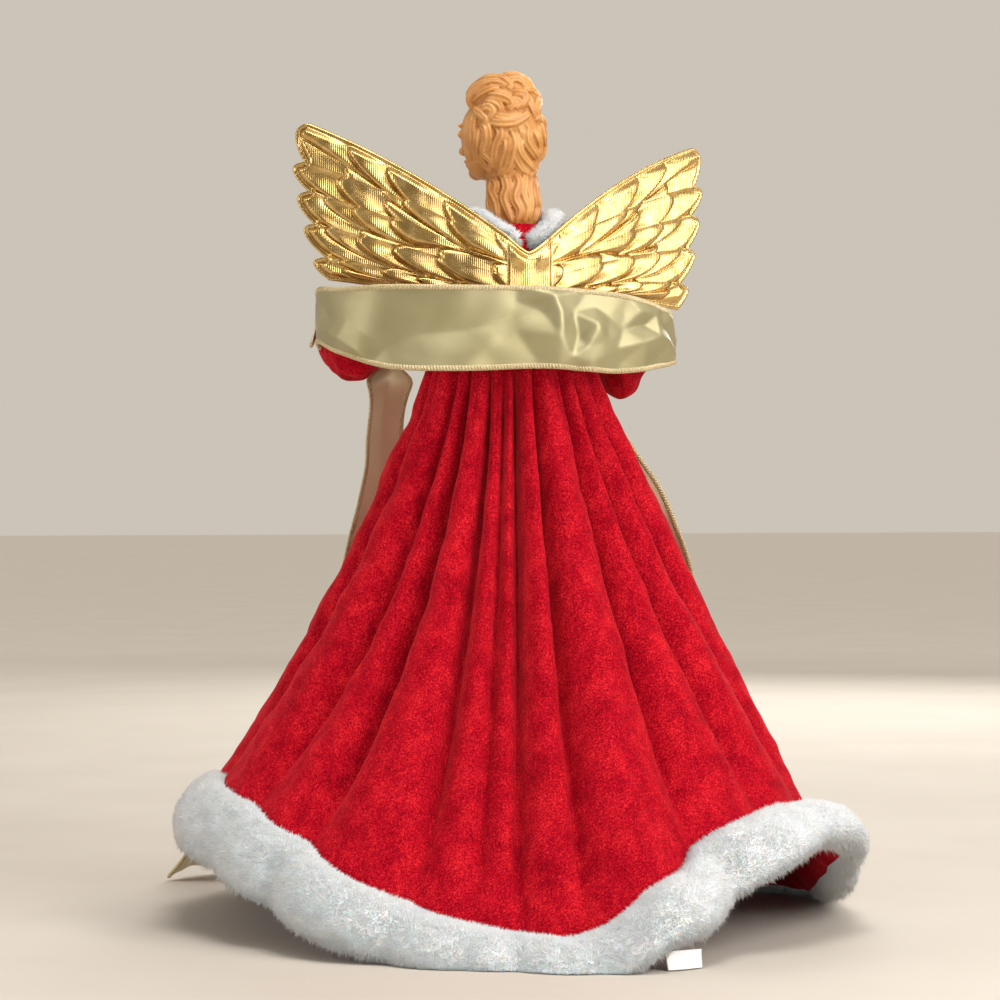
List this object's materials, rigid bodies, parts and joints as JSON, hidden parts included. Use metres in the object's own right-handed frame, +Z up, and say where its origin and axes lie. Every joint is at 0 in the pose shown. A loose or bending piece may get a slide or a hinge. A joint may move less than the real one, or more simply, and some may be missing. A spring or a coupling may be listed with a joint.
{
  "type": "angel tree topper",
  "caption": "Standing angel tree topper: velvet gown with plush hem and collar, quilted gold wings, ribbon sash and a turning head on a cone that slips over a tree's tip.",
  "frame": {"origin": "centre of the cone's mouth on the surface it stands on", "axes": "+Z up along the cone; the angel faces -Y and its left side is +X"},
  "size_m": [0.3347, 0.3793, 0.4055],
  "materials": {
    "velvet": "crushed pile",
    "plush": "deep pile",
    "gold_lame": "metallic, quilted",
    "gold_ribbon": "metallic satin",
    "white_tape": "plain",
    "card": "matt",
    "turned_wood": "raw",
    "foam": "expanded foam",
    "neck_plastic": "moulded",
    "elastic": "woven",
    "vinyl": "soft moulded, one colour",
    "wire": "drawn"
  },
  "bodies": {
    "torso": {"base_cone": "card", "cone_cap": "turned_wood", "spine_dowel": "turned_wood", "torso_core": "foam", "bodice": "velvet", "shoulder_wire": "wire", "waist_elastic": "elastic", "skirt": "velvet", "hem_fur": "plush", "blank_tab": "white_tape", "collar_fur": "plush", "neck_plug": "neck_plastic", "wing_centre": "gold_lame", "sash_back": "gold_ribbon"},
    "head": {"head": "vinyl"},
    "left_wing": {"left_wing": "gold_lame"},
    "right_wing": {"right_wing": "gold_lame"},
    "left_arm": {"left_sleeve": "velvet", "left_cuff": "plush", "left_hand": "vinyl", "left_arm_wire": "wire", "left_sash_tail": "gold_ribbon"},
    "right_arm": {"right_sleeve": "velvet", "right_cuff": "plush", "right_hand": "vinyl", "right_arm_wire": "wire", "right_sash_tail": "gold_ribbon"}
  },
  "joints": [
    {"name": "head_turn", "type": "hinge", "parent": "torso", "child": "head", "pos_m": [0, 0, 0.34], "axis": [0, 0, 1], "range_deg": [-128, 42]},
    {"name": "left_wing_fold", "type": "hinge", "parent": "torso", "child": "left_wing", "pos_m": [0.0095, 0.0305, 0.305], "axis": [0, 0, 1], "range_deg": [0, 14], "stiffness_Nm_per_rad": 0.05},
    {"name": "right_wing_fold", "type": "hinge", "parent": "torso", "child": "right_wing", "pos_m": [-0.0095, 0.0305, 0.305], "axis": [0, 0, -1], "range_deg": [0, 14], "stiffness_Nm_per_rad": 0.05},
    {"name": "left_arm_raise", "type": "hinge", "parent": "torso", "child": "left_arm", "pos_m": [0.034, -0.007, 0.30972], "axis": [-1, 0, 0], "range_deg": [0, 25]},
    {"name": "right_arm_raise", "type": "hinge", "parent": "torso", "child": "right_arm", "pos_m": [-0.034, -0.007, 0.30972], "axis": [-1, 0, 0], "range_deg": [0, 25]}
  ]
}
